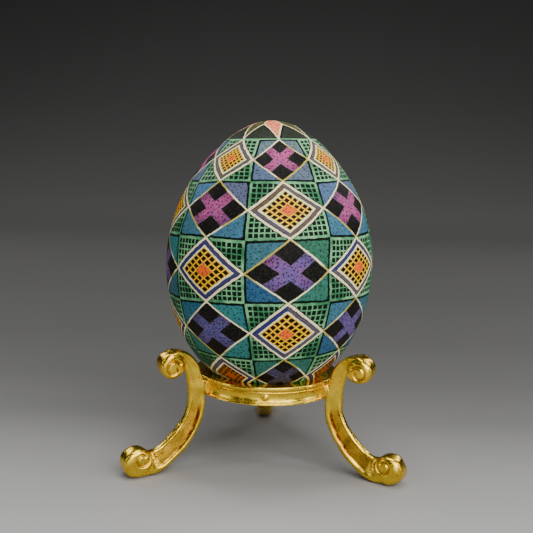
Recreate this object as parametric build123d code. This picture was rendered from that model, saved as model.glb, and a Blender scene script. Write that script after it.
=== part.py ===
from build123d import *
import math
import os

# A decorated hen's egg on a small three-legged stand, in millimetres, +Z up.
# Every piece is first made about the stand's own axis, with the floor at z = 0
# and the rear leg along +Y. All of them then move along Y by the same amount,
# so that the origin is under the middle of the whole object's box.

# Eggshell
egg_length = 58.3
egg_width = 44.0
egg_bottom = 14.6           # height of the blunt end above the floor
egg_taper = -0.048          # the three terms that make one end blunter
egg_fullness = -0.080
egg_point = -0.073
shell_thickness = 0.4
drain_hole_radius = 1.2     # the hole at the blunt end, through which it was emptied

# Support ring
ring_radius = 15.4          # outside of the top bead
ring_bottom = 15.7
ring_top = 19.5
ring_bead = 1.0             # height of the top bead
ring_neck = 0.35            # depth of the groove under the bead
ring_hollow = 0.25          # how far the outer wall dips in below the groove
ring_foot = 0.5             # height of the bottom rim
seat_gap = 0.12             # between the seat and the shell
seat_depth = 0.4            # height of the sloping seat
edge_round = 0.3

# Studs, one midway between each two legs
stud_head_radius = 0.85
stud_head_height = 0.55
stud_shank_radius = 0.5
stud_height = (ring_bottom + ring_foot + ring_top - ring_bead) / 2
wall_radius = ring_radius - ring_neck - ring_hollow

# Legs: one outline in the leg's own upright plane, as (distance from axis, height)
leg_thickness = 3.8         # width of the bar, across its plane
roll_thickness = 4.8        # width of the two scroll rolls
leg_edge_round = 0.45
top_roll = (22.6, 22.75)
top_roll_radius = 2.7
foot_roll = (30.1, 3.05)
foot_roll_radius = 3.1
leg_back = [(21.9, 25.2), (19.3, 24.5), (16.9, 22.0), (15.3, 18.2), (14.9, 14.8),
            (15.6, 11.2), (17.3, 7.6), (20.2, 3.9), (24.2, 1.0), (29.2, 0.1)]
leg_front = [(28.6, 4.6), (26.2, 4.3), (23.5, 5.4), (21.2, 7.9), (19.2, 11.0),
             (18.15, 14.6), (18.15, 18.0), (19.2, 20.7), (21.2, 22.3)]
saddle_reach = 0.9           # how far the brazed saddle of a leg goes into the ring's outline
saddle_height = 3.2
leg_angles = {"leg_left": 210, "leg_right": 330, "leg_rear": 90}
stud_angles = {"stud_front": 270, "stud_right": 30, "stud_left": 150}


def egg_outline(length, width, bottom, steps=24):
    """Points of a bird's egg from its blunt end up to its point."""
    points = []
    widest = max(egg_swell(math.pi * k / 200) for k in range(201))
    for k in range(steps + 1):
        angle = math.pi * (1 - k / steps)
        radius = width / 2 * egg_swell(angle) / widest
        height = bottom + length / 2 * (1 + math.cos(angle))
        points.append((radius, height))
    return points


def egg_swell(angle):
    """Relative radius at an angle from the point, 0, to the blunt end, pi."""
    along = math.cos(angle)
    bulge = 1 + egg_taper * along + egg_fullness * along ** 2 + egg_point * along ** 3
    return math.sin(angle) * bulge


def egg_radius_at(height):
    """Outside radius of the shell at a height above the floor, below its widest."""
    outline = egg_outline(egg_length, egg_width, egg_bottom, 720)
    for low, high in zip(outline, outline[1:]):
        if low[1] <= height <= high[1]:
            share = (height - low[1]) / (high[1] - low[1])
            return low[0] + share * (high[0] - low[0])
    return 0.0


def solid_egg(length, width, bottom):
    """A closed egg: half of its outline turned about the axis."""
    outline = egg_outline(length, width, bottom)
    points = [(0, outline[0][1])] + outline[1:-1] + [(0, outline[-1][1])]
    curve = Spline(*points, tangents=[(1, 0), (-1, 0)])
    axis_line = Line(points[-1], points[0])
    half = Plane.XZ * make_face([curve, axis_line])
    return revolve(half, Axis.Z)


def make_eggshell():
    """The emptied shell, with the drain hole in its blunt end."""
    outer = solid_egg(egg_length, egg_width, egg_bottom)
    inner = solid_egg(egg_length - 2 * shell_thickness, egg_width - 2 * shell_thickness,
                      egg_bottom + shell_thickness)
    hole = Pos(0, 0, egg_bottom) * Cylinder(drain_hole_radius, 4 * shell_thickness)
    return outer - inner - hole


def ring_section():
    """Half section of the ring, with its beaded rim, hollow wall and sloping seat."""
    seat_radius = egg_radius_at(ring_top) + seat_gap
    bore_radius = egg_radius_at(ring_top - seat_depth) + seat_gap
    neck_height = ring_top - ring_bead
    foot_height = ring_bottom + ring_foot
    neck_radius = ring_radius - ring_neck
    middle = (wall_radius, (neck_height + foot_height) / 2)
    wall = ThreePointArc((neck_radius, neck_height), middle, (neck_radius, foot_height))
    bead = ThreePointArc((neck_radius, neck_height),
                         (ring_radius, ring_top - ring_bead / 2),
                         (ring_radius - edge_round, ring_top))
    foot = ThreePointArc((neck_radius, foot_height),
                         (ring_radius - ring_neck / 3, ring_bottom + ring_foot / 2),
                         (ring_radius - edge_round, ring_bottom))
    rest = Polyline((ring_radius - edge_round, ring_bottom), (bore_radius, ring_bottom),
                    (bore_radius, ring_top - seat_depth), (seat_radius, ring_top),
                    (ring_radius - edge_round, ring_top))
    return Plane.XZ * make_face([wall, bead, foot, rest])


def solid_ring():
    return revolve(ring_section(), Axis.Z)


def stud_place(angle):
    """Where a stud's axis meets the hollow wall, with +Z pointing outward."""
    return Rot(0, 0, angle) * Pos(wall_radius, 0, stud_height) * Rot(0, 90, 0)


def stud_drill(angle):
    """The hole for a stud, from its head to the middle of the ring."""
    drill = Pos(0, 0, -wall_radius / 2) * Cylinder(stud_shank_radius, wall_radius)
    return stud_place(angle) * drill


def make_stud(angle, ring):
    """A domed head on a shank that fills its hole in the ring."""
    dome_radius = (stud_head_radius ** 2 + stud_head_height ** 2) / (2 * stud_head_height)
    dome = Pos(0, 0, stud_head_height - dome_radius) * Sphere(dome_radius)
    head = dome & Cylinder(stud_head_radius, 2 * stud_head_height)
    head = stud_place(angle) * head - ring
    tip = (stud_place(angle) * Pos(0, 0, stud_head_height)).position
    outer_piece = head.solids().sort_by_distance(tip)[0]
    shank = ring & stud_drill(angle)
    return outer_piece + shank


def make_ring():
    """The ring, drilled for the studs."""
    ring = solid_ring()
    for angle in stud_angles.values():
        ring -= stud_drill(angle)
    return ring


def leg_bar():
    """The curved bar between the two rolls."""
    back = Spline(*leg_back)
    front = Spline(*leg_front)
    outline = [back, Line(leg_back[-1], leg_front[0]), front, Line(leg_front[-1], leg_back[0])]
    face = Plane.XZ * make_face(outline)
    return extrude(face, leg_thickness / 2, both=True)


def leg_saddle():
    """The pad on the back of the bar, where the leg is brazed to the ring."""
    middle_height = (ring_bottom + ring_top) / 2
    pad = Box(2 * saddle_reach, leg_thickness, saddle_height)
    return Pos(ring_radius, 0, middle_height) * pad


def leg_roll(centre, radius):
    """One scroll roll, a short round bar across the leg."""
    roll = Rot(90, 0, 0) * Cylinder(radius, roll_thickness)
    roll = fillet(roll.edges().filter_by(GeomType.CIRCLE), leg_edge_round)
    return Pos(centre[0], 0, centre[1]) * roll


def make_leg(angle, ring):
    """A leg, coped to the ring and cut flat where it stands on the floor."""
    leg = leg_bar() + leg_saddle()
    leg += leg_roll(top_roll, top_roll_radius)
    leg += leg_roll(foot_roll, foot_roll_radius)
    floor_block = Pos(foot_roll[0], 0, -foot_roll_radius)
    below = floor_block * Box(6 * foot_roll_radius, 2 * roll_thickness, 2 * foot_roll_radius)
    leg = Rot(0, 0, angle) * (leg - below) - ring
    return leg.solids().sort_by(SortBy.VOLUME)[-1]


def make_parts():
    """Every piece about the stand's own axis, by name."""
    ring = solid_ring()
    parts = {"eggshell": make_eggshell(), "support_ring": make_ring()}
    for name, angle in leg_angles.items():
        parts[name] = make_leg(angle, ring)
    for name, angle in stud_angles.items():
        parts[name] = make_stud(angle, ring)
    return parts


def middle_behind_axis(parts):
    """How far the middle of the whole object's box lies behind the stand's axis."""
    boxes = [shape.bounding_box() for shape in parts.values()]
    return (min(box.min.Y for box in boxes) + max(box.max.Y for box in boxes)) / 2


parts = make_parts()
shift = middle_behind_axis(parts)
print("stand axis at y =", round(-shift, 4))
os.makedirs("parts", exist_ok=True)
for name, shape in parts.items():
    export_step(Pos(0, -shift, 0) * shape, f"parts/{name}.step")
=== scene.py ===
import math

import bpy
import numpy as np
from mathutils import Matrix, Vector


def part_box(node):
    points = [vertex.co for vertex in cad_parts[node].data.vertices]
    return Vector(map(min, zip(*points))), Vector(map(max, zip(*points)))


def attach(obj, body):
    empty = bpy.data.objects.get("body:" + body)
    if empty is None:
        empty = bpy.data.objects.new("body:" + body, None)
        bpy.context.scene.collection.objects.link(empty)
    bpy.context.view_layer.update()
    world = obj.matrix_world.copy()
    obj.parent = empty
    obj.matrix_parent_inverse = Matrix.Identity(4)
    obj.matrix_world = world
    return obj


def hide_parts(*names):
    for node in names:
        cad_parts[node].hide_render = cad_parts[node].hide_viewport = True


# A dyed and varnished pysanka on a gilt three-legged stand.
# Shapes are built in millimetres about the stand's own axis, with the floor at
# zero and the rear leg along +Y, and are moved into the frame's metres by place().

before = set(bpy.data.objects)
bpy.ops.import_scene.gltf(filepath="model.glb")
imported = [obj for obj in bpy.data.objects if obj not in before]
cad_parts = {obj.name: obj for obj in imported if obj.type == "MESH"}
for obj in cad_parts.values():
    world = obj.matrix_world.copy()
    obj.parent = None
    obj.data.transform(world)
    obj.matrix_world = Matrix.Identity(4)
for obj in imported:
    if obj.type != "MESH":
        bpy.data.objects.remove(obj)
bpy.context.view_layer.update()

MM = 0.001
egg_low, egg_high = (Vector(corner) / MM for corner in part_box("eggshell"))
ring_low, ring_high = (Vector(corner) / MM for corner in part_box("support_ring"))
axis_x = (ring_low.x + ring_high.x) / 2
axis_y = (ring_low.y + ring_high.y) / 2

# Egg
egg_width = egg_high.x - egg_low.x
egg_length = egg_high.z - egg_low.z
egg_taper, egg_fullness, egg_point = -0.048, -0.080, -0.073
shell_thickness = 0.4
drain_hole_radius = 1.2

# Drawn pattern: eight columns of cells, in rows counted down from the point
columns = 8
front_column_turn = math.radians(10.4)     # the front column faces a little to the right
star_reach = 10.7                          # along the shell, from the pole to the first row
row_heights = [11.2, 11.9, 12.8, 12.5, 11.8]
pattern_lean = (-0.033, 0.022)             # how far the drawn poles lean off the shell's
stray = 0.030                              # how far drawn corners stray, in columns
random_seed = 11
# These two were chosen among many, so that the side that faces the front is like the real egg's
stray_seed = 6235
triangle_seed = 41618.5


def place(mesh):
    """Moves a mesh built in millimetres about the stand's axis into the frame."""
    mesh.transform(Matrix.Translation((axis_x * MM, axis_y * MM, 0)) @ Matrix.Scale(MM, 4))
    return mesh


def new_object(name, mesh):
    piece = bpy.data.objects.new(name, mesh)
    bpy.context.scene.collection.objects.link(piece)
    mesh.shade_smooth()
    return piece


# ---------------------------------------------------------------- egg mesh

def egg_swell(angle):
    along = np.cos(angle)
    bulge = 1 + egg_taper * along + egg_fullness * along ** 2 + egg_point * along ** 3
    return np.sin(angle) * bulge


def egg_profile(inset, steps):
    """Radius and height from the point down to the drain hole, evenly along the shell."""
    angle = np.linspace(0, math.pi, 4000)
    swell = egg_swell(angle)
    radius = (egg_width / 2 - inset) * swell / swell.max()
    height = egg_low.z + egg_length / 2 + (egg_length / 2 - inset) * np.cos(angle)
    reach = np.concatenate([[0], np.cumsum(np.hypot(np.diff(radius), np.diff(height)))])
    end = reach[np.flatnonzero((angle > math.pi / 2) & (radius < drain_hole_radius))[0]]
    even = np.linspace(0, end, steps)
    return np.interp(even, reach, radius), np.interp(even, reach, height), reach[-1]


def turned_mesh(name, radius, height, segments):
    """A mesh turned about the axis. A radius of nought closes it in a single point."""
    points, rings = [], []
    for r, z in zip(radius, height):
        if r < 1e-6:
            rings.append([len(points)] * segments)
            points.append((0, 0, z))
            continue
        first = len(points)
        for k in range(segments):
            turn = 2 * math.pi * k / segments
            points.append((r * math.cos(turn), r * math.sin(turn), z))
        rings.append(list(range(first, first + segments)))
    faces = []
    for upper, lower in zip(rings, rings[1:]):
        for k in range(segments):
            nxt = (k + 1) % segments
            corner = [upper[k], lower[k], lower[nxt], upper[nxt]]
            faces.append(list(dict.fromkeys(corner)))
    mesh = bpy.data.meshes.new(name)
    mesh.from_pydata(points, [], faces)
    mesh.update()
    return mesh


def lean_back(points):
    """Turns points about the egg's middle, to undo the lean of the drawn poles."""
    middle = Vector((0, 0, (egg_low.z + egg_high.z) / 2))
    turn = Matrix.Rotation(pattern_lean[1], 3, "X") @ Matrix.Rotation(-pattern_lean[0], 3, "Y")
    return (points - np.array(middle)) @ np.array(turn).T + np.array(middle)


def strayed(column, row, random):
    """Shifts each drawn corner a little, as a hand does, and what lies between with it."""
    grid = random.uniform(-stray, stray, (2, 2 * len(row_heights) + 3, 2 * columns))
    u = (column * 2) % (2 * columns)
    v = np.clip(row * 2 + 1, 0, grid.shape[1] - 1.001)
    ui, vi = u.astype(int) % (2 * columns), v.astype(int)
    fu, fv = u - u.astype(int), v - vi
    un = (ui + 1) % (2 * columns)
    upper = grid[:, vi, ui] * (1 - fu) + grid[:, vi, un] * fu
    lower = grid[:, vi + 1, ui] * (1 - fu) + grid[:, vi + 1, un] * fu
    shift = upper * (1 - fv) + lower * fv
    return column + shift[0], row + shift[1]


def write_pattern(mesh):
    """Stores where each corner of each face lies in the drawn pattern."""
    random = np.random.default_rng(stray_seed)
    corners = np.empty(len(mesh.loops), dtype=np.int32)
    mesh.loops.foreach_get("vertex_index", corners)
    points = np.empty(3 * len(mesh.vertices))
    mesh.vertices.foreach_get("co", points)
    points = lean_back(points.reshape(-1, 3))
    starts = np.empty(len(mesh.polygons), dtype=np.int32)
    totals = np.empty(len(mesh.polygons), dtype=np.int32)
    mesh.polygons.foreach_get("loop_start", starts)
    mesh.polygons.foreach_get("loop_total", totals)
    face_of = np.repeat(np.arange(len(starts)), totals)

    at = points[corners]
    girth = np.hypot(at[:, 0], at[:, 1])
    turn = np.arctan2(at[:, 0], -at[:, 1]) - front_column_turn
    column = turn / (2 * math.pi / columns)
    column[girth < 1e-3] = np.nan
    # Corners of one face lie on the same side of the seam
    middle_x = np.zeros(len(starts))
    middle_y = np.zeros(len(starts))
    np.add.at(middle_x, face_of, at[:, 0])
    np.add.at(middle_y, face_of, at[:, 1])
    middle = (np.arctan2(middle_x, -middle_y) - front_column_turn) / (2 * math.pi / columns)
    middle = middle[face_of]
    column = np.where(np.isnan(column), middle, column)
    column += columns * np.round((middle - column) / columns)

    radius, height, total = egg_profile(0, 3000)
    reach = np.linspace(0, total, 3000)
    along = np.interp(-at[:, 2], -height, reach)
    knots = np.cumsum([star_reach] + row_heights)
    rows = np.arange(len(knots))
    row = np.interp(along, knots, rows)
    row = np.where(along < knots[0], (along - knots[0]) / row_heights[0], row)
    row = np.where(along > knots[-1], rows[-1] + (along - knots[-1]) / row_heights[-1], row)
    column, row = strayed(column, row, random)
    for name, values in (("column", column), ("row", row), ("girth", girth), ("reach", along)):
        layer = mesh.attributes.new(name, "FLOAT", "CORNER")
        layer.data.foreach_set("value", values.astype(np.float32))


def make_egg():
    outer_radius, outer_height, _ = egg_profile(0, 300)
    inner_radius, inner_height, _ = egg_profile(shell_thickness, 90)
    outer_radius[0] = inner_radius[0] = 0
    radius = np.concatenate([outer_radius, inner_radius[::-1]])
    height = np.concatenate([outer_height, inner_height[::-1]])
    mesh = turned_mesh("painted_eggshell", radius, height, 384)
    write_pattern(mesh)
    place(mesh)
    egg = new_object("painted_eggshell", mesh)
    egg.data.materials.append(dyed_shell())
    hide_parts("eggshell")
    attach(egg, "egg")
    return egg


# ---------------------------------------------------------------- shader shorthand

def dye(red, green, blue):
    """A colour given as it looks on a screen, 0 to 255, as the shader's own numbers."""
    def linear(value):
        value /= 255
        return value / 12.92 if value <= 0.04045 else ((value + 0.055) / 1.055) ** 2.4
    return linear(red), linear(green), linear(blue), 1.0


def arithmetic(operation, swapped=False):
    """A method that works on the field and one other number or field."""
    def work(field, other):
        first, second = (other, field) if swapped else (field, other)
        return field.sheet.math(operation, first, second)
    return work


def alone(operation):
    """A method that works on the field by itself."""
    def work(field):
        return field.sheet.math(operation, field)
    return work


class Field:
    """A number that varies over the surface, with the usual arithmetic."""

    def __init__(self, sheet, socket):
        self.sheet, self.socket = sheet, socket

    __add__ = arithmetic("ADD")
    __radd__ = arithmetic("ADD", swapped=True)
    __sub__ = arithmetic("SUBTRACT")
    __rsub__ = arithmetic("SUBTRACT", swapped=True)
    __mul__ = arithmetic("MULTIPLY")
    __rmul__ = arithmetic("MULTIPLY", swapped=True)
    __truediv__ = arithmetic("DIVIDE")
    __mod__ = arithmetic("FLOORED_MODULO")
    least = arithmetic("MINIMUM")
    most = arithmetic("MAXIMUM")
    __abs__ = alone("ABSOLUTE")
    floor = alone("FLOOR")
    sign = alone("SIGN")
    root = alone("SQRT")

    def off(self):
        return 1 - self

    def below(self, limit, soft=0.035):
        """1 where the field is under the limit and 0 over it, over a soft edge."""
        return self.sheet.ramp(self, limit - soft, limit + soft, 1, 0)

    def above(self, limit, soft=0.035):
        return self.sheet.ramp(self, limit - soft, limit + soft, 0, 1)

    def between(self, low, high, soft=0.035):
        return self.above(low, soft) * self.below(high, soft)


class Sheet:
    """One material's nodes."""

    def __init__(self, name):
        self.material = bpy.data.materials.new(name)
        self.material.use_nodes = True
        self.tree = self.material.node_tree
        self.tree.nodes.clear()

    def node(self, kind, **settings):
        made = self.tree.nodes.new(kind)
        for key, value in settings.items():
            setattr(made, key, value)
        return made

    def feed(self, socket, value):
        if isinstance(value, Field):
            self.tree.links.new(value.socket, socket)
        else:
            socket.default_value = value

    def math(self, operation, *values):
        made = self.node("ShaderNodeMath", operation=operation)
        for socket, value in zip(made.inputs, values):
            self.feed(socket, value)
        return Field(self, made.outputs[0])

    def ramp(self, value, low, high, first, last):
        made = self.node("ShaderNodeMapRange", interpolation_type="SMOOTHSTEP")
        for socket, entry in zip(made.inputs, (value, low, high, first, last)):
            self.feed(socket, entry)
        return Field(self, made.outputs[0])

    def attribute(self, name):
        return Field(self, self.node("ShaderNodeAttribute", attribute_name=name).outputs["Fac"])

    def place(self):
        """Where a point lies on the piece, in millimetres."""
        here = self.node("ShaderNodeTexCoord")
        scaled = self.node("ShaderNodeVectorMath", operation="SCALE")
        self.tree.links.new(here.outputs["Object"], scaled.inputs[0])
        scaled.inputs["Scale"].default_value = 1 / MM
        return Field(self, scaled.outputs[0])

    def vector(self, x, y, z=0.0):
        made = self.node("ShaderNodeCombineXYZ")
        for socket, value in zip(made.inputs, (x, y, z)):
            self.feed(socket, value)
        return Field(self, made.outputs[0])

    def noise(self, place, scale, detail=2.0, roughness=0.5):
        made = self.node("ShaderNodeTexNoise")
        self.feed(made.inputs["Vector"], place)
        made.inputs["Scale"].default_value = scale
        made.inputs["Detail"].default_value = detail
        made.inputs["Roughness"].default_value = roughness
        return Field(self, made.outputs["Fac"])

    def cells(self, place, scale, randomness=1.0, flat=False):
        made = self.node("ShaderNodeTexVoronoi", voronoi_dimensions="2D" if flat else "3D")
        self.feed(made.inputs["Vector"], place)
        made.inputs["Scale"].default_value = scale
        made.inputs["Randomness"].default_value = randomness
        return Field(self, made.outputs["Distance"])

    def chance(self, x, y, z=0.0):
        """A number from 0 to 1 that is the same wherever the three given are."""
        made = self.node("ShaderNodeTexWhiteNoise", noise_dimensions="3D")
        self.feed(made.inputs["Vector"], self.vector(x, y, z))
        return Field(self, made.outputs["Value"])

    def mix(self, share, first, second, blend="MIX"):
        made = self.node("ShaderNodeMix", data_type="RGBA", blend_type=blend)
        self.feed(made.inputs[0], share)
        self.feed(made.inputs[6], first)
        self.feed(made.inputs[7], second)
        return Field(self, made.outputs[2])

    def palette(self, value, stops, step=False):
        made = self.node("ShaderNodeValToRGB")
        made.color_ramp.interpolation = "CONSTANT" if step else "LINEAR"
        entries = made.color_ramp.elements
        while len(entries) < len(stops):
            entries.new(0.5)
        for entry, (position, colour) in zip(entries, stops):
            entry.position = position
            entry.color = colour
        self.feed(made.inputs[0], value)
        return Field(self, made.outputs[0])

    def bump(self, height, distance, strength=1.0, normal=None):
        made = self.node("ShaderNodeBump")
        made.inputs["Strength"].default_value = strength
        made.inputs["Distance"].default_value = distance
        self.feed(made.inputs["Height"], height)
        if normal:
            self.feed(made.inputs["Normal"], normal)
        return Field(self, made.outputs[0])

    def finish(self, **inputs):
        """Ends the nodes in one Principled surface."""
        surface = self.node("ShaderNodeBsdfPrincipled")
        for key, value in inputs.items():
            self.feed(surface.inputs[key.replace("_", " ")], value)
        end = self.node("ShaderNodeOutputMaterial")
        self.tree.links.new(surface.outputs[0], end.inputs["Surface"])
        return self.material


def grey(value):
    return value, value, value, 1.0


def by_row(sheet, row_index, values):
    """One value for each row of cells, picked by the row's number."""
    count = len(values)
    stops = [(k / count, grey(value)) for k, value in enumerate(values)]
    share = (row_index + 0.5) / count
    return sheet.palette(share, stops, step=True)


# ---------------------------------------------------------------- egg colours

cream = dye(250, 240, 190)
cream_warm = dye(185, 170, 75)
mint_pale = dye(130, 195, 140)
mint_deep = dye(55, 120, 80)
black_dye = dye(12, 12, 12)
black_green = dye(8, 18, 12)
maroon_black = dye(30, 12, 12)
yellow = dye(255, 195, 0)
yellow_pale = dye(255, 240, 120)
salmon = dye(250, 110, 30)
# Dull dark orange: a dye, and in the lowest row also painted shade from the ring.
orange_dye_and_shade = dye(160, 80, 30)
dot_red = dye(150, 30, 60)

frost, slate, dusk = dye(180, 200, 180), dye(100, 120, 130), dye(95, 100, 130)
sky, teal, deep_blue = dye(70, 120, 160), dye(60, 110, 120), dye(40, 85, 130)
sea, moss = dye(50, 130, 130), dye(50, 110, 85)
rose, orchid, violet = dye(205, 80, 140), dye(160, 70, 130), dye(110, 80, 150)
iris, soot = dye(85, 80, 145), dye(60, 60, 80)
brown, stone, plum, navy = dye(105, 85, 65), dye(100, 95, 95), dye(90, 80, 105), dye(40, 50, 120)

# Each wash runs through its dyes from the point of the egg down to the blunt end
triangle_dyes = [(0.0, frost), (0.15, slate), (0.3, dusk), (0.45, sky), (0.6, teal),
                 (0.75, deep_blue), (0.87, sea), (1.0, moss)]
cross_dyes = [(0.0, rose), (0.3, orchid), (0.6, violet), (0.8, iris), (1.0, soot)]
band_dyes = [(0.0, brown), (0.3, stone), (0.6, plum), (1.0, navy)]


def cell_parts(sheet):
    """The lengths, in millimetres, that say where a point lies in its cell."""
    place = sheet.place()
    girth = sheet.attribute("girth")
    half_wide = girth * (math.pi / columns)
    half_high = sum(row_heights) / len(row_heights) / 2
    shiver = (sheet.noise(place, 3.4, 2.0) - 0.5) * 0.13
    tremor_u = (sheet.noise(place, 0.9, 3.0) - 0.5) * 0.36 + shiver
    tremor_v = (sheet.noise(place, 1.15, 3.0) - 0.5) * 0.36 - shiver
    column = sheet.attribute("column") + tremor_u / (half_wide * 2)
    row = sheet.attribute("row") + tremor_v / (2 * half_high)
    i = (column + 0.5).floor()
    a = column - i
    j = row.floor()
    b = row - j - 0.5
    slant = half_wide * (2 * half_high) / (half_wide * half_wide + half_high ** 2).root()
    return {
        "place": place, "i": i % columns, "j": j, "a": a,
        "side": (0.5 - abs(a)) * half_wide * 2,
        "cap": (0.5 - abs(b)) * (2 * half_high),
        "edge": (0.5 - abs(a) - abs(b)) * slant,
        "p": (a + b) * slant, "q": (a - b) * slant, "slant": slant,
        "flat_x": a * half_wide * 2, "flat_y": b * (2 * half_high),
        "quarter": a.sign() + b.sign() * 2,
        "ordinary": (i + j) % 2,
    }


def pen_width(sheet, place):
    """How much wider or narrower the stylus wrote here, in millimetres."""
    return (sheet.noise(place, 0.9, 4.0, 0.6) - 0.5) * 0.30


def dots(sheet, cell, spacing, size):
    """Round dots, unevenly spread over the surface."""
    flat = sheet.vector(cell["flat_x"] + cell["i"] * 31.7, cell["flat_y"] + cell["j"] * 17.3)
    distance = sheet.cells(flat, 1 / spacing, randomness=0.8, flat=True) * spacing
    return distance.below(size, 0.05)


def plain_cell(sheet, cell):
    """The cells with a dark diamond, a coloured cross in it and four flat corners."""
    place = cell["place"]
    base = by_row(sheet, cell["j"], [0.20, 0.36, 0.80, 0.74, 0.95])
    spread = by_row(sheet, cell["j"], [0.30, 0.50, 0.46, 0.46, 0.12])
    pick = sheet.chance(cell["i"], cell["j"], cell["quarter"] + triangle_seed)
    wash = sheet.noise(place, 0.22, 3.0, 0.6) - 0.5
    shade = base + (pick - 0.5) * spread + wash * 0.16
    corner = sheet.palette(shade, triangle_dyes)
    mottle = sheet.noise(place, 2.6, 4.0, 0.7)
    corner = sheet.mix(mottle.above(0.56, 0.1) * 0.16, corner, dye(120, 150, 150))
    corner = sheet.mix(mottle.below(0.46, 0.08) * 0.35, corner, black_dye)
    corner = sheet.mix(dots(sheet, cell, 0.95, 0.15) * 0.8, corner, black_dye)
    rounding = 0.9
    inset_x = (rounding - cell["side"]).most(0)
    inset_y = (rounding - cell["cap"]).most(0)
    border = rounding - (inset_x * inset_x + inset_y * inset_y).root()
    line = 0.46 + cell["pen"]
    corner = sheet.mix(border.below(line), corner, black_green)

    cross_base = by_row(sheet, cell["j"], [0.08, 0.24, 0.66, 0.74, 1.0])
    sweep = (sheet.noise(place, 0.16, 2.0) - 0.5) * 0.8
    cross = sheet.palette(cross_base + sweep, cross_dyes)
    scratch = sheet.noise(place, 3.0, 5.0, 0.8)
    cross = sheet.mix(scratch.above(0.54, 0.05) * 0.42, cross, dye(156, 134, 158))
    cross = sheet.mix(scratch.below(0.45, 0.05) * 0.35, cross, black_dye)
    out = abs(cell["p"]).most(abs(cell["q"])) / cell["slant"]
    cross = sheet.mix(out.above(0.34, 0.12) * 0.40, cross, dye(44, 42, 50))
    cross = sheet.mix(dots(sheet, cell, 0.85, 0.17) * 0.85, cross, black_dye)
    speck = sheet.noise(place, 3.4, 4.0, 0.75).above(0.56, 0.06)
    dark = sheet.mix(speck * 0.22, black_dye, dye(104, 98, 84))
    third = cell["slant"] * 0.118
    in_corner = abs(cell["p"]).above(third) * abs(cell["q"]).above(third)
    inside = sheet.mix(in_corner, cross, dark)
    seam = abs(abs(cell["p"]) - third).least(abs(abs(cell["q"]) - third))
    inside = sheet.mix(seam.below(0.06) * 0.30, inside, dye(120, 110, 130))
    colour = sheet.mix(cell["edge"].above(0), corner, inside)
    warm = sheet.noise(place, 0.18, 2.0).above(0.52, 0.06)
    ink = sheet.mix(warm, cream, cream_warm)
    return sheet.mix(abs(cell["edge"]).below(0.17 + cell["pen"] * 0.4), colour, ink)


def netting(sheet, cell):
    """Small dark squares between lines ruled along the cell's sides."""
    place = cell["place"]
    strip = 0.40
    pitch = 1.06
    line = 0.125 + cell["pen"] * 0.5
    across = abs(((cell["side"] - strip) / pitch + 0.5) % 1 - 0.5) * pitch
    down = abs(((cell["cap"] - strip) / pitch + 0.5) % 1 - 0.5) * pitch
    tint = sheet.noise(place, 0.2, 3.0, 0.6)
    mint = sheet.mix(tint.above(0.5, 0.14), mint_pale, mint_deep)
    speck = sheet.noise(place, 3.2, 2.0).above(0.6, 0.1)
    ground = sheet.mix(speck * 0.5, black_green, dye(16, 62, 34))
    lines = across.least(down).below(line).most(cell["side"].least(cell["cap"]).below(strip))
    return sheet.mix(lines, ground, mint)


def lattice_cell(sheet, cell):
    """The cells with a banded diamond full of yellow lattice and four netted corners."""
    place = cell["place"]
    edge = cell["edge"]
    net = netting(sheet, cell)
    frame_at = 1.44
    reach = cell["slant"] / 2 - frame_at
    squares = 3
    big_p = cell["p"] / reach * squares
    big_q = cell["q"] / reach * squares
    to_line = (abs((big_p + 0.5) % 1 - 0.5)).least(abs((big_q + 0.5) % 1 - 0.5)) * reach / squares
    outwards = abs(big_p).most(abs(big_q))
    blanch = sheet.chance(cell["i"], cell["j"], 7.0) + (outwards - 2.4) * 0.5
    lines = sheet.mix(blanch.above(0.95, 0.3), yellow, yellow_pale)
    # In the lowest row, beside the ring, the lines go dull dark orange: orange dye with painted
    # shade from the ring.
    lines = sheet.mix(by_row(sheet, cell["j"], [0.25, 0.0, 0.0, 0.0, 0.85]), lines, orange_dye_and_shade)
    lattice = sheet.mix(to_line.below(0.15 + cell["pen"] * 0.4), maroon_black, lines)
    patch = sheet.mix(dots(sheet, cell, 0.75, 0.17) * 0.9, salmon, dot_red)
    ragged = (sheet.noise(place, 1.3, 1.0) - 0.5) * 0.5
    # The lowest row's patches go dull dark orange too, partly painted shade from the ring.
    patch = sheet.mix(by_row(sheet, cell["j"], [0.0, 0.0, 0.0, 0.0, 0.6]), patch, orange_dye_and_shade)
    lattice = sheet.mix((outwards + ragged).below(0.98, 0.08), lattice, patch)

    side_pick = sheet.chance(cell["i"], cell["j"], cell["quarter"] + 3.5)
    band_base = by_row(sheet, cell["j"], [0.05, 0.2, 0.55, 0.6, 0.6])
    band = sheet.palette(band_base + (side_pick - 0.4) * 0.7, band_dyes)
    band = sheet.mix(sheet.noise(place, 2.5, 3.0).above(0.55, 0.1) * 0.35, band, black_dye)
    pen = cell["pen"]
    colour = sheet.mix(edge.above(0), net, band)
    colour = sheet.mix(edge.between(-0.32, 0.44), colour, black_dye)
    colour = sheet.mix(edge.between(0.98, 1.12), colour, maroon_black)
    colour = sheet.mix(edge.between(1.10, frame_at + 0.02), colour, cream)
    colour = sheet.mix(edge.above(frame_at), colour, lattice)
    return sheet.mix(edge.between(-0.17 - pen * 0.5, 0.30 + pen * 0.5), colour, cream)


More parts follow.
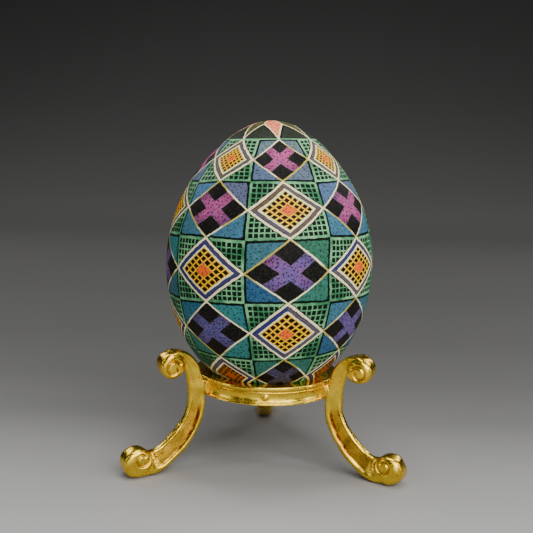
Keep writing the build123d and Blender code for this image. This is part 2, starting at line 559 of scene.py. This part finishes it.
def pole_star(sheet, cell, reach):
    """The eight-pointed star about each pole, with dotted quarters between its points."""
    place = cell["place"]
    turn = abs(cell["a"]) * (2 * math.pi / columns)
    x = reach * sheet.math("COSINE", turn)
    y = reach * sheet.math("SINE", turn)
    notch_reach = 4.6
    half_turn = math.pi / columns
    notch = Vector((notch_reach * math.cos(half_turn), notch_reach * math.sin(half_turn)))
    tip = Vector((star_reach, 0))
    run = (tip - notch).normalized()
    inward = Vector((run.y, -run.x))
    if inward.dot(-notch) < 0:
        inward = -inward
    depth = (x - notch.x) * inward.x + (y - notch.y) * inward.y
    pink = sheet.mix(dots(sheet, cell, 0.9, 0.2), dye(250, 145, 105), dye(200, 80, 45))
    # Every other arm is dark olive: an olive dye taken as dark as an arm seen in shade, so partly
    # painted shade.
    olive_and_shade = sheet.mix(dots(sheet, cell, 0.9, 0.2), dye(90, 90, 55), dye(50, 45, 35))
    arm = sheet.mix((cell["i"] % 2).below(0.5, 0.01), olive_and_shade, pink)
    between_arms = sheet.mix(dots(sheet, cell, 0.6, 0.15) * 0.8, dye(50, 55, 45), black_dye)
    rim = (0.5 - abs(cell["a"])) * reach * (2 * math.pi / columns)
    colour = sheet.mix(depth.above(0), between_arms, arm)
    colour = sheet.mix(depth.between(-0.5, 0), colour, black_dye)
    colour = sheet.mix(rim.below(0.13) * depth.above(0), colour, cream)
    colour = sheet.mix(abs(depth).below(0.15), colour, cream)
    return sheet.mix((star_reach - reach).below(0.22), colour, mint_pale)


def dyed_shell():
    """Dyed eggshell under satin varnish, with the whole drawing worked out by nodes."""
    sheet = Sheet("dyed_shell")
    cell = cell_parts(sheet)
    cell["pen"] = pen_width(sheet, cell["place"])
    colour = sheet.mix(cell["ordinary"].below(0.5, 0.01), lattice_cell(sheet, cell),
                       plain_cell(sheet, cell))
    far = sum(row_heights) + 2 * star_reach
    reach = sheet.attribute("reach")
    pole = reach.least(far - reach)
    colour = sheet.mix(pole.below(star_reach, 0.02), colour, pole_star(sheet, cell, pole))

    place = cell["place"]
    aged = sheet.noise(place, 0.5, 5.0, 0.65)
    colour = sheet.mix(aged.above(0.5, 0.3) * 0.18, colour, dye(60, 52, 44), "MULTIPLY")
    pores = sheet.cells(place, 2.2)
    grain = sheet.noise(place, 5.0, 4.0, 0.6)
    relief = sheet.bump(pores.below(0.12, 0.08).off() * 0.5 + grain, 0.02 * MM, 0.5)
    gloss = sheet.ramp(sheet.noise(place, 0.8, 4.0), 0.2, 0.8, 0.42, 0.58)
    return sheet.finish(Base_Color=colour, Roughness=gloss, Normal=relief,
                        Specular_IOR_Level=0.08)


# ---------------------------------------------------------------- gold stand

def gold_plate():
    """Gilt cast metal: bright and yellow, a little waved and pitted, its hollows darkened to amber
    as painted shade and browned in ragged patches of tarnish.
    """
    sheet = Sheet("gold_plate")
    place = sheet.place()
    hollow = sheet.attribute("hollow")
    wave = sheet.noise(place, 0.42, 2.0)
    cast = sheet.noise(place, 2.4, 4.0, 0.6)
    pits = sheet.cells(place, 0.55).below(0.12, 0.05)
    stain = sheet.noise(place, 0.5, 5.0, 0.7)
    gilt = sheet.mix(stain.above(0.55, 0.12) * 0.5, dye(244, 206, 62), dye(222, 152, 30))
    ragged = sheet.noise(place, 1.0, 4.0, 0.7)
    # Painted shade: the hollows are darkened towards amber, standing in for the shade that falls in
    # them.
    colour = sheet.mix(hollow.above(0.4, 0.3) * 0.30, gilt, dye(180, 116, 26))
    # Ragged dark brown patches of tarnish in the hollows, deep and shallow.
    colour = sheet.mix(hollow.above(0.70, 0.25) * ragged.above(0.43, 0.06), colour,
                       dye(108, 36, 8))
    colour = sheet.mix(hollow.above(0.3, 0.2) * ragged.below(0.42, 0.04) * 0.7, colour,
                       dye(112, 44, 10))
    colour = sheet.mix(pits * 0.7, colour, dye(84, 36, 12))
    gloss = sheet.ramp(cast, 0.3, 0.75, 0.20, 0.36) + hollow * 0.10
    grit = sheet.noise(place, 4.5, 4.0, 0.7)
    relief = sheet.bump(wave, 0.25 * MM, 0.4)
    relief = sheet.bump(cast * 0.15 - pits + hollow * grit * 2.5, 0.03 * MM, 0.6, relief)
    return sheet.finish(Base_Color=colour, Metallic=1.0, Roughness=gloss, Normal=relief)


# ---------------------------------------------------------------- stand mesh

# Each leg lies in its own upright plane. Its spine is a row of stations along the bar, as
# (distance from the axis, height, depth of the bar in the plane, width across the plane)
leg_turns = {"leg_left": 210, "leg_right": 330, "leg_rear": 90}
leg_spine = [(23.4, 24.2, 2.2, 4.4), (22.0, 24.6, 2.2, 4.3), (20.5, 24.3, 2.3, 4.1),
             (19.2, 23.3, 2.7, 3.9), (18.25, 21.8, 3.0, 3.8), (17.6, 20.0, 3.1, 3.8),
             (17.2, 18.0, 3.2, 3.8), (16.9, 15.8, 3.3, 3.8), (16.9, 13.8, 3.5, 3.8),
             (17.25, 11.95, 3.7, 3.8), (18.0, 10.1, 3.9, 3.9), (19.1, 8.3, 4.1, 4.0),
             (20.5, 6.6, 4.2, 4.1), (22.2, 5.0, 4.3, 4.2), (24.1, 3.55, 4.4, 4.3),
             (26.0, 2.7, 4.7, 4.5), (28.0, 2.6, 5.0, 4.7), (29.6, 2.75, 5.2, 4.7)]
leg_reach = 33.14               # how far a foot reaches from the axis
leg_half_width = 2.36           # the most that a leg reaches to either side of its plane
bar_taper = 0.55                # how much narrower a bar is along its hollow edge
# A roll's spiral winds inward round its eye, from the turn where it starts, one way or the other
leg_rolls = [
    {"centre": (22.6, 22.75), "radius": 2.78, "width": 4.8,
     "eye": (22.9, 22.2), "start": 2.7, "way": -1, "first_radius": 1.75},
    {"centre": (30.1, 3.08), "radius": 3.1, "width": 4.8,
     "eye": (29.4, 3.95), "start": 2.6, "way": 1, "first_radius": 1.7}]
last_spiral_radius = 0.75
panel_depth = 0.45
spiral_depth = 0.48


def smooth_path(rows, count):
    """An even curve through the rows, which start with two distances."""
    rows = np.array(rows, float)
    padded = np.vstack([2 * rows[0] - rows[1], rows, 2 * rows[-1] - rows[-2]])
    t = np.linspace(0, 1, 30, endpoint=False)[:, None]
    fine = []
    for before, here, there, after in zip(padded, padded[1:], padded[2:], padded[3:]):
        bend = 2 * before - 5 * here + 4 * there - after
        twist = 3 * here - before - 3 * there + after
        fine.append(0.5 * (2 * here + (there - before) * t + bend * t ** 2 + twist * t ** 3))
    fine = np.vstack(fine + [rows[-1:]])
    reach = np.concatenate([[0], np.cumsum(np.hypot(*np.diff(fine[:, :2], axis=0).T))])
    even = np.linspace(0, reach[-1], count)
    return np.column_stack([np.interp(even, reach, column) for column in fine.T])


def squared_round(turn, power=0.5):
    """Points round a square with well-rounded corners, as a circle pushed outward."""
    cosine, sine = np.cos(turn), np.sin(turn)
    return (np.sign(cosine) * np.abs(cosine) ** power, np.sign(sine) * np.abs(sine) ** power)


def across_of(path):
    ahead = np.gradient(path[:, :2], axis=0)
    ahead /= np.hypot(*ahead.T)[:, None]
    return np.column_stack([-ahead[:, 1], ahead[:, 0]])


def tube_faces(first, rings, around):
    faces = []
    for k in range(rings - 1):
        here = first + k * around
        for m in range(around):
            n = (m + 1) % around
            faces.append((here + m, here + n, here + around + n, here + around + m))
    faces.append(tuple(range(first, first + around))[::-1])
    last = first + (rings - 1) * around
    faces.append(tuple(range(last, last + around)))
    return faces


def bar_points(path, around=40):
    deep, wide = squared_round(np.linspace(0, 2 * math.pi, around, endpoint=False))
    across = across_of(path)
    points = []
    for (x, z, depth, width), (nx, nz) in zip(path, across):
        for d, w in zip(deep, wide):
            here = width / 2 * w * (1 - bar_taper * (d + 1) / 2)
            points.append((x + nx * depth / 2 * d, here, z + nz * depth / 2 * d))
    return points


def roll_points(centre, radius, width, around=64, steps=24):
    """Rings of a rounded drum lying across the leg."""
    points = []
    radial, lift = squared_round(np.linspace(-1.48, 1.48, steps), 0.54)
    for r, w in zip(radial, lift):
        for k in range(around):
            turn = 2 * math.pi * k / around
            points.append((centre[0] + radius * r * math.cos(turn), width / 2 * w,
                           centre[1] + radius * r * math.sin(turn)))
    return points


def braze_points(around=48, steps=24):
    """The blob of braze between a leg and the ring."""
    points = []
    for lift in np.linspace(-1.5, 1.5, steps):
        for k in range(around):
            turn = 2 * math.pi * k / around
            points.append((15.2 + 1.0 * math.cos(lift) * math.cos(turn),
                           3.1 * math.cos(lift) * math.sin(turn),
                           17.5 + 1.95 * math.sin(lift)))
    return points


def melted(name, parts, voxel, rounds):
    """One smooth skin round several closed, overlapping forms."""
    points, faces = [], []
    for part, around in parts:
        faces += tube_faces(len(points), len(part) // around, around)
        points += part
    mesh = bpy.data.meshes.new(name + "_rough")
    mesh.from_pydata(points, [], faces)
    rough = bpy.data.objects.new(name + "_rough", mesh)
    bpy.context.scene.collection.objects.link(rough)
    remesh = rough.modifiers.new("melt", "REMESH")
    remesh.mode = "VOXEL"
    remesh.voxel_size = voxel
    soften = rough.modifiers.new("soften", "SMOOTH")
    soften.factor = 0.5
    soften.iterations = rounds
    graph = bpy.context.evaluated_depsgraph_get()
    skin = bpy.data.meshes.new_from_object(rough.evaluated_get(graph))
    bpy.data.objects.remove(rough)
    bpy.data.meshes.remove(mesh)
    skin.name = name
    return skin


def ease(value, low, high):
    share = np.clip((value - low) / (high - low), 0, 1)
    return share * share * (3 - 2 * share)


def cast_waves(points, random, size=0.06):
    """A slow unevenness, as cast and hand-polished metal has."""
    total = np.zeros(len(points))
    for _ in range(14):
        ahead = random.normal(size=3)
        ahead *= 2 * math.pi / random.uniform(2.0, 6.5) / np.linalg.norm(ahead)
        total += np.sin(points @ ahead + random.uniform(0, 6.3))
    return total * size / 3


def spiral(points, flat, roll):
    """1 in the spiral groove on the faces of a roll, 0 away from it."""
    from_eye = flat - np.array(roll["eye"])
    distance = np.hypot(*from_eye.T)
    turn = np.arctan2(from_eye[:, 1], from_eye[:, 0])
    wound = ((turn - roll["start"]) * roll["way"]) % (2 * math.pi)
    first = roll["first_radius"]
    curve = first - (first - last_spiral_radius) * wound / (2 * math.pi)
    groove = np.exp(-((distance - curve) / 0.24) ** 2)
    face = ease(np.abs(points[:, 1]) / (roll["width"] / 2), 0.60, 0.85)
    return groove * face * (distance < roll["radius"])


def carving(points, path):
    """How deep each point of a leg is carved, in panels and spirals, and how much painted shade and
    tarnish its colour takes there.
    """
    flat = points[:, [0, 2]]
    near = np.concatenate([
        np.argmin(((part[:, None] - path[None, :, :2]) ** 2).sum(2), axis=1)
        for part in np.array_split(flat, 12)])
    station = path[near]
    off = ((flat - station[:, :2]) * across_of(path)[near]).sum(1)
    share = near / (len(path) - 1)
    hollow_rim = station[:, 2] / 2 - off
    round_rim = station[:, 2] / 2 + off
    panel = ease(hollow_rim, 0.35, 0.65) * ease(round_rim, 0.95, 1.45)
    panel *= ease(share, 0.36, 0.50) * (1 - ease(share, 0.86, 0.92))
    line = np.exp(-((hollow_rim - 0.75) / 0.2) ** 2)
    line *= ease(share, 0.03, 0.08) * (1 - ease(share, 0.24, 0.34))
    taper = 1 - bar_taper * np.clip(off / station[:, 2] + 0.5, 0, 1)
    face = ease(np.abs(points[:, 1]) / (station[:, 3] / 2 * taper), 0.60, 0.90)
    depth = (panel_depth * panel + 0.15 * line) * face
    # A dark line painted along the side face near the rounded edge, where nothing is cut.
    crease = np.exp(-((round_rim - 1.45) / 0.42) ** 2) * face
    crease *= ease(share, 0.38, 0.50) * (1 - ease(share, 0.72, 0.86))
    for roll in leg_rolls:
        depth = np.maximum(depth, spiral_depth * spiral(points, flat, roll))
    return depth, np.maximum(np.clip(depth / 0.5, 0, 1) * 0.75, crease)


def make_leg(name, turn, random):
    path = smooth_path(leg_spine, 160)
    parts = [(bar_points(path), 40), (braze_points(), 48)]
    parts += [(roll_points(roll["centre"], roll["radius"], roll["width"]), 64)
              for roll in leg_rolls]
    mesh = melted(name, parts, voxel=0.14, rounds=5)
    points = np.empty(3 * len(mesh.vertices))
    mesh.vertices.foreach_get("co", points)
    points = points.reshape(-1, 3)
    normals = np.empty(3 * len(mesh.vertices))
    mesh.vertices.foreach_get("normal", normals)
    points = points + normals.reshape(-1, 3) * cast_waves(points, random)[:, None]
    depth, shade_and_tarnish = carving(points, path)
    points[:, 1] -= np.sign(points[:, 1]) * depth
    points[:, 0] = np.minimum(points[:, 0], leg_reach)
    points[:, 1] = np.clip(points[:, 1], -leg_half_width, leg_half_width)
    points[:, 2] = np.maximum(points[:, 2], 0.0)
    mesh.vertices.foreach_set("co", points.ravel())
    # The hollow value carries painted shade and tarnish into the gold's colour.
    layer = mesh.attributes.new("hollow", "FLOAT", "POINT")
    layer.data.foreach_set("value", shade_and_tarnish.astype(np.float32))
    mesh.transform(Matrix.Rotation(math.radians(turn), 4, "Z"))
    return new_object(name + "_cast", place(mesh))


def egg_radius_at(height):
    radius, heights, _ = egg_profile(0, 3000)
    below = heights < egg_low.z + egg_length / 2
    return float(np.interp(-height, -heights[below], radius[below]))


def make_ring(random):
    """The ring, with its beaded rim, ruled line, hollow wall, foot and sloping seat."""
    top, bottom = ring_high.z, ring_low.z
    rim = ring_high.x - axis_x
    gap = 0.12
    seat = egg_radius_at(top) + gap
    bore = egg_radius_at(top - 0.4) + gap
    outline = [(seat, top), (seat + 0.2, top), (rim - 0.35, top), (rim - 0.12, top - 0.08),
               (rim - 0.01, top - 0.28), (rim, top - 0.5), (rim - 0.05, top - 0.72),
               (rim - 0.2, top - 0.92), (rim - 0.42, top - 1.02), (rim - 0.40, top - 1.10),
               (rim - 0.30, top - 1.22), (rim - 0.33, top - 1.36), (rim - 0.47, top - 1.48),
               (rim - 0.56, top - 1.8), (rim - 0.60, top - 2.15), (rim - 0.57, top - 2.5),
               (rim - 0.48, top - 2.85), (rim - 0.35, top - 3.15), (rim - 0.36, top - 3.27),
               (rim - 0.20, top - 3.36), (rim - 0.10, top - 3.5), (rim - 0.12, top - 3.66),
               (rim - 0.30, bottom), (bore + 0.2, bottom), (bore, bottom + 0.1),
               (bore, top - 0.45), (bore, top - 0.4), (seat, top)]
    dense = smooth_path(outline, 110)
    mesh = turned_mesh("ring", dense[::-1, 0], dense[::-1, 1], 320)
    points = np.empty(3 * len(mesh.vertices))
    mesh.vertices.foreach_get("co", points)
    points = points.reshape(-1, 3)
    reach = np.hypot(points[:, 0], points[:, 1])
    outside = ease(reach, rim - 0.75, rim - 0.5)
    swell = (cast_waves(points, random, 0.03) - 0.03) * outside
    points[:, :2] *= (1 + swell / reach)[:, None]
    points[:, 2] = np.clip(points[:, 2], bottom, top)
    mesh.vertices.foreach_set("co", points.ravel())
    # The ruled line and the groove above the foot take the gold's painted shade and tarnish through
    # this value.
    hollow = mesh.attributes.new("hollow", "FLOAT", "POINT")
    groove = np.exp(-((points[:, 2] - (top - 1.05)) / 0.14) ** 2)
    groove += np.exp(-((points[:, 2] - (bottom + 0.55)) / 0.14) ** 2)
    hollow.data.foreach_set("value", (groove * outside * 0.45).astype(np.float32))
    return new_object("ring_cast", place(mesh))


gold = gold_plate()


def gild(piece, node=None):
    piece.data.materials.clear()
    piece.data.materials.append(gold)
    if node:
        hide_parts(node)
        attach(piece, "stand")


for node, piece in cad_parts.items():
    if node.startswith("stud"):
        gild(piece)

random = np.random.default_rng(random_seed)
for name, turn in leg_turns.items():
    gild(make_leg(name, turn, random), name)
gild(make_ring(random), "support_ring")
make_egg()

# ---------------------------------------------------------------- floor, light, camera

camera_distance = 186.0         # in front of the stand's axis
camera_height = 70.6
camera_dip = 0.153
camera_pan = -0.0032
camera_roll = 0.0305
lens_ratio = 1.6424             # focal length over the width of the picture


def make_camera():
    data = bpy.data.cameras.new("camera")
    data.sensor_width = 36.0
    data.lens = lens_ratio * data.sensor_width
    data.clip_start = 0.005
    camera = bpy.data.objects.new("camera", data)
    bpy.context.scene.collection.objects.link(camera)
    turn = (Matrix.Rotation(-camera_pan, 4, "Z") @ Matrix.Rotation(math.pi / 2 - camera_dip, 4, "X")
            @ Matrix.Rotation(camera_roll, 4, "Z"))
    spot = Vector((axis_x, axis_y - camera_distance, camera_height)) * MM
    camera.matrix_world = Matrix.Translation(spot) @ turn
    bpy.context.scene.camera = camera


def make_light(name, spot, size, power, target=(0, 0, 0.04)):
    data = bpy.data.lights.new(name, "AREA")
    data.shape = "RECTANGLE"
    data.size, data.size_y = size
    data.energy = power
    light = bpy.data.objects.new(name, data)
    bpy.context.scene.collection.objects.link(light)
    light.location = spot
    light.rotation_euler = (Vector(target) - Vector(spot)).to_track_quat("-Z", "Y").to_euler()


def make_floor():
    """Studio paper: a pale floor that curves up behind, with painted light falloff that darkens it
    as it goes back and up.
    """
    near, back, bend, height, half = -1600.0, 420.0, 260.0, 1000.0, 1600.0
    line = [(near, 0.0), (-300.0, 0.0), (0.0, 0.0), (back / 2, 0.0), (back, 0.0)]
    line += [(back + bend * math.sin(k * math.pi / 24), bend - bend * math.cos(k * math.pi / 24))
             for k in range(1, 13)]
    line.append((back + bend, height))
    points = [(x, y, z) for y, z in line for x in (-half, half)]
    faces = [(2 * k, 2 * k + 1, 2 * k + 3, 2 * k + 2) for k in range(len(line) - 1)]
    mesh = bpy.data.meshes.new("studio_paper")
    mesh.from_pydata(points, [], faces)
    paper = new_object("studio_paper", place(mesh))
    sheet = Sheet("studio_paper")
    spot = sheet.node("ShaderNodeSeparateXYZ")
    sheet.feed(spot.inputs[0], sheet.place())
    back_up = Field(sheet, spot.outputs["Y"]) - axis_y + Field(sheet, spot.outputs["Z"])
    # Painted light falloff: pale in front of the stand, darkening under and behind it and nearly
    # black up the back.
    stops = [(-60, 0.46), (-10, 0.27), (25, 0.15), (60, 0.108), (110, 0.088), (200, 0.082),
             (340, 0.088), (500, 0.088), (570, 0.074), (710, 0.046), (860, 0.023), (940, 0.018)]
    first, last = stops[0][0], stops[-1][0]
    entries = [((at - first) / (last - first), (v, v * 0.99, v * 0.965, 1)) for at, v in stops]
    colour = sheet.palette((back_up - first) / (last - first), entries)
    tooth = sheet.noise(sheet.place(), 0.8, 4.0, 0.7)
    colour = sheet.mix(tooth * 0.05, colour, dye(90, 88, 84))
    relief = sheet.bump(tooth, 0.05 * MM, 0.3)
    paper.data.materials.append(sheet.finish(Base_Color=colour, Roughness=0.75,
                                             Specular_IOR_Level=0.2, Normal=relief))


def make_world():
    world = bpy.data.worlds.new("studio")
    bpy.context.scene.world = world
    world.use_nodes = True
    world.node_tree.nodes["Background"].inputs[0].default_value = (0.33, 0.33, 0.34, 1)
    world.node_tree.nodes["Background"].inputs[1].default_value = 0.11


make_camera()
make_floor()
make_world()
make_light("key", (0.27, -0.57, 0.54), (0.75, 0.55), 7.6, target=(0, 0, 0.03))
make_light("front_low", (0.06, -0.78, 0.12), (0.90, 0.20), 1.1, target=(0, 0, 0.02))
make_light("strip_right", (0.42, -0.10, 0.22), (0.05, 0.40), 0.55)
make_light("strip_left", (-0.42, -0.16, 0.22), (0.05, 0.40), 0.25)
make_light("top", (0.0, 0.0, 0.55), (0.30, 0.22), 1.5)
make_light("back_left", (-0.34, 0.30, 0.34), (0.20, 0.20), 0.6)
make_light("back_right", (0.34, 0.30, 0.34), (0.20, 0.20), 0.6)
